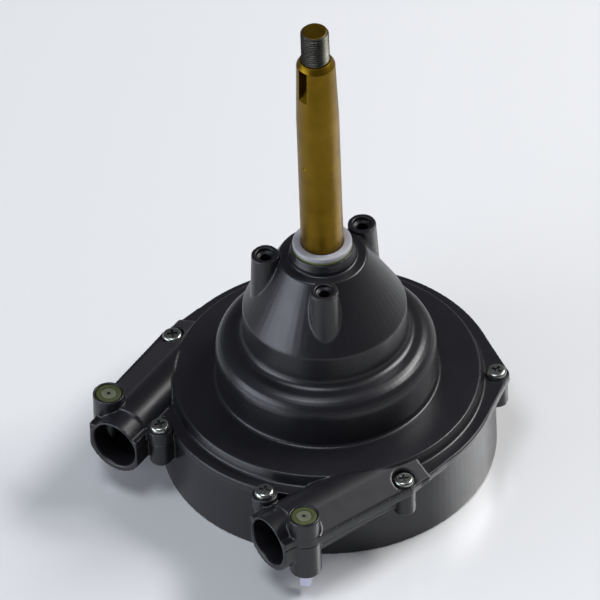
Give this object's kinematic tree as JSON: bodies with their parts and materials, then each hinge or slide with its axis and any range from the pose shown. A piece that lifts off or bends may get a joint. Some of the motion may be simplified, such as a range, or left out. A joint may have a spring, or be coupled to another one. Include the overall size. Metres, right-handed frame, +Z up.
{
  "type": "boat steering helm",
  "caption": "Rotary planetary steering helm: round cast housing with two cable ports and a stepped bell cover, and a keyed tapered shaft for the steering wheel.",
  "frame": {"origin": "centre of the flat back face, on the axis of the steering shaft", "axes": "+Z up the steering shaft towards the wheel, -Y towards the mouths of the two cable ports, +X towards one port"},
  "size_m": [0.155, 0.167, 0.245],
  "materials": {
    "cast_housing": "semi-gloss charcoal powder coat",
    "cast_cover": "semi-gloss charcoal powder coat",
    "shaft_steel": "yellow passivated, turned",
    "pale_plastic": "satin",
    "seal_rubber": "satin",
    "bearing_steel": "ground",
    "brass": "turned",
    "spring_steel": "phosphated",
    "friction_lining": "moulded lining",
    "gear_steel": "machined",
    "gear_plastic": "moulded nylon",
    "screw_steel": "stainless",
    "yellow_zinc": "olive zinc",
    "blue_zinc": "blue zinc"
  },
  "bodies": {
    "housing": {"rear_housing": "cast_housing", "front_cover": "cast_cover", "shaft_bush": "pale_plastic", "shaft_seal": "seal_rubber", "bearing_outer_ring": "bearing_steel", "pressure_plate": "spring_steel", "disc_spring": "spring_steel", "ring_gear": "gear_plastic", "drum_thrust_washer": "pale_plastic", "lower_bearing": "brass", "cable_guide": "pale_plastic", "cover_screws": "screw_steel", "lock_bolts": "yellow_zinc", "lock_nuts": "blue_zinc"},
    "shaft": {"steering_shaft": "shaft_steel", "bearing_inner_ring": "bearing_steel", "bearing_circlips": "spring_steel", "friction_disc": "friction_lining", "sun_gear": "gear_steel"},
    "bearing_set": {"bearing_balls": "bearing_steel", "bearing_cage": "brass"},
    "drum": {"cable_drum": "gear_plastic", "drum_bush": "brass", "planet_pins": "gear_steel", "planet_washers": "brass", "carrier_plate": "gear_steel"},
    "planet_1": {"planet_gear_1": "gear_plastic"},
    "planet_2": {"planet_gear_2": "gear_plastic"},
    "planet_3": {"planet_gear_3": "gear_plastic"}
  },
  "joints": [
    {"name": "drum_turn", "type": "hinge", "parent": "housing", "child": "drum", "pos_m": [0, 0, 0.0285], "axis": [0, 0, 1], "continuous": true},
    {"name": "shaft_turn", "type": "hinge", "parent": "housing", "child": "shaft", "pos_m": [0, 0, 0.102], "axis": [0, 0, 1], "continuous": true},
    {"name": "bearing_turn", "type": "hinge", "parent": "housing", "child": "bearing_set", "pos_m": [0, 0, 0.102], "axis": [0, 0, 1], "continuous": true},
    {"name": "planet_1_turn", "type": "hinge", "parent": "drum", "child": "planet_1", "pos_m": [0, 0.0225, 0.0473], "axis": [0, 0, 1], "continuous": true},
    {"name": "planet_2_turn", "type": "hinge", "parent": "drum", "child": "planet_2", "pos_m": [-0.01949, -0.01125, 0.0473], "axis": [0, 0, 1], "continuous": true},
    {"name": "planet_3_turn", "type": "hinge", "parent": "drum", "child": "planet_3", "pos_m": [0.01949, -0.01125, 0.0473], "axis": [0, 0, 1], "continuous": true}
  ],
  "couplings": [
    {"joint": "shaft_turn", "follows": "drum_turn", "ratio": 6},
    {"joint": "bearing_turn", "follows": "drum_turn", "ratio": 2.48},
    {"joint": "planet_1_turn", "follows": "drum_turn", "ratio": -2.5},
    {"joint": "planet_2_turn", "follows": "drum_turn", "ratio": -2.5},
    {"joint": "planet_3_turn", "follows": "drum_turn", "ratio": -2.5}
  ]
}
